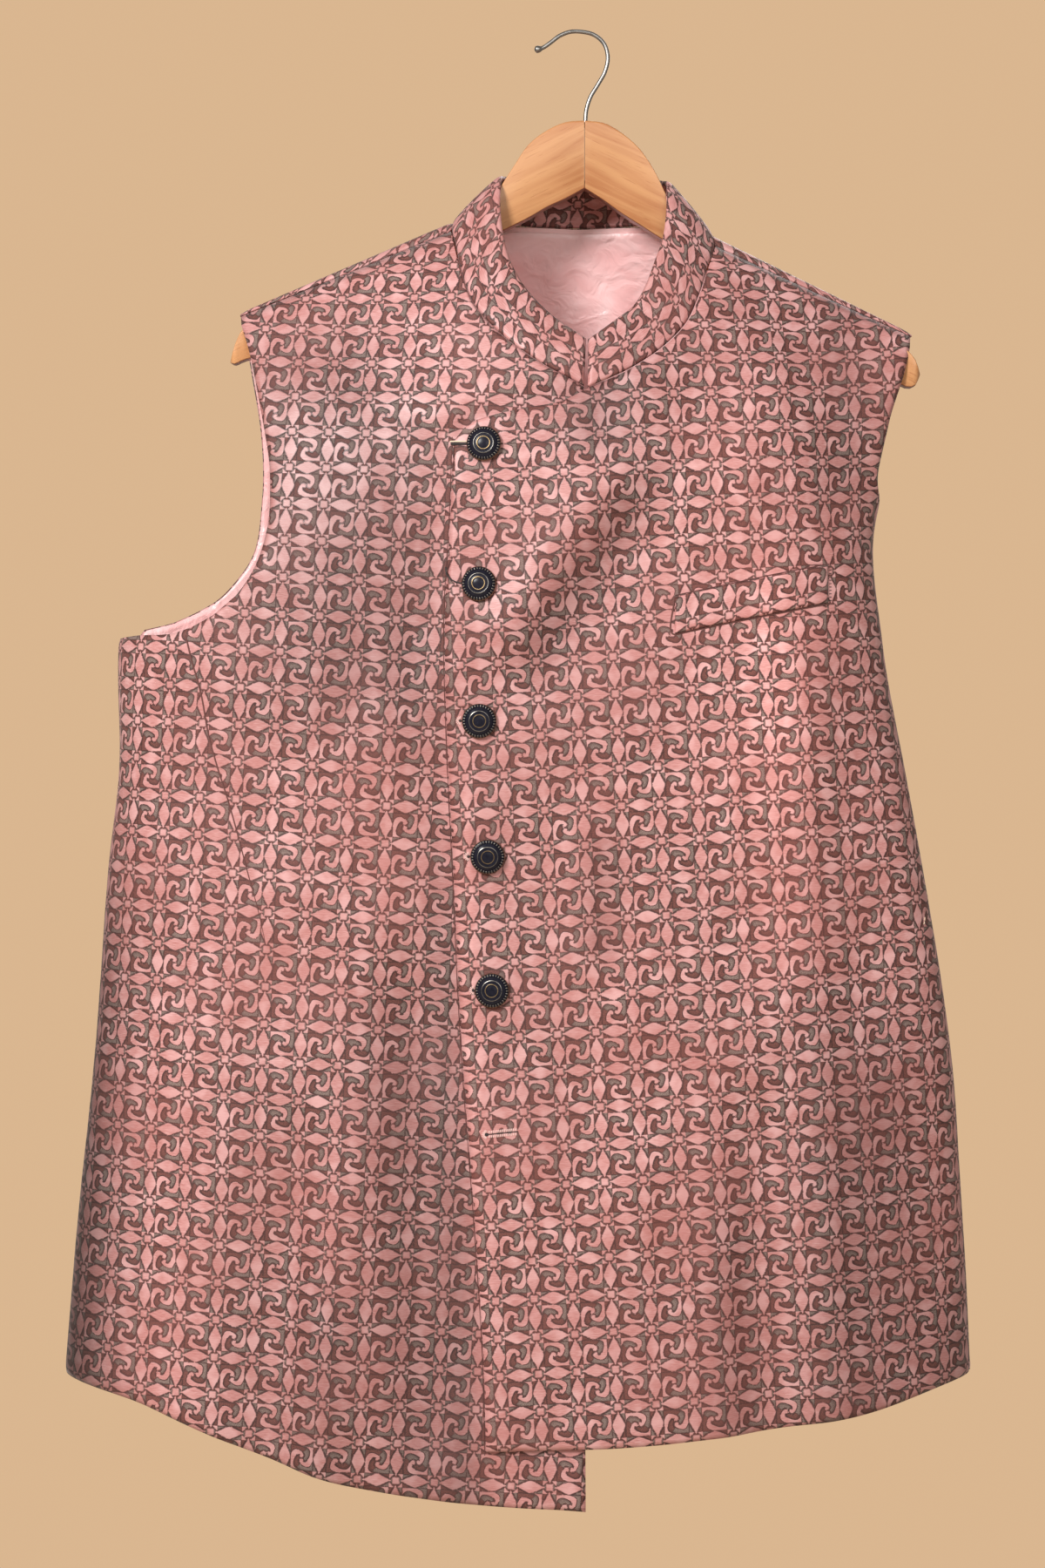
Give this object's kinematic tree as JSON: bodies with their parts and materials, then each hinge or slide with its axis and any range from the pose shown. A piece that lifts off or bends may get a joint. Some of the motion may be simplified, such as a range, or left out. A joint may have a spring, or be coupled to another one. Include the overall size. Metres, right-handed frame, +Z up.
{
  "type": "nehru jacket on hanger",
  "caption": "Sleeveless nehru jacket with band collar and off-centre button front in pink jacquard, hanging on a wooden hanger with a wire hook.",
  "frame": {"origin": "where the hook rests on its rail: the lowest point of the inside of the hook's top bend", "axes": "+Z up, the jacket's front faces -Y, the wearer's right is -X"},
  "size_m": [0.5706, 0.1459, 0.9218],
  "materials": {
    "jacquard": "woven jacquard, pink ground with grey and brown figures",
    "satin_lining": "pale pink satin",
    "hanger_wood": "clear satin lacquer",
    "steel": "polished wire",
    "button_black": "gloss, with a metallic beaded rim"
  },
  "bodies": {
    "root": {"front_over": "jacquard", "front_under": "jacquard", "back": "jacquard", "back_lining": "satin_lining", "collar": "jacquard", "chest_welt": "jacquard", "button_1": "button_black", "button_2": "button_black", "button_3": "button_black", "button_4": "button_black", "button_5": "button_black", "hanger_half_right": "hanger_wood", "hanger_half_left": "hanger_wood", "hanger_nut": "steel", "hanger_hook": "steel"}
  },
  "joints": []
}
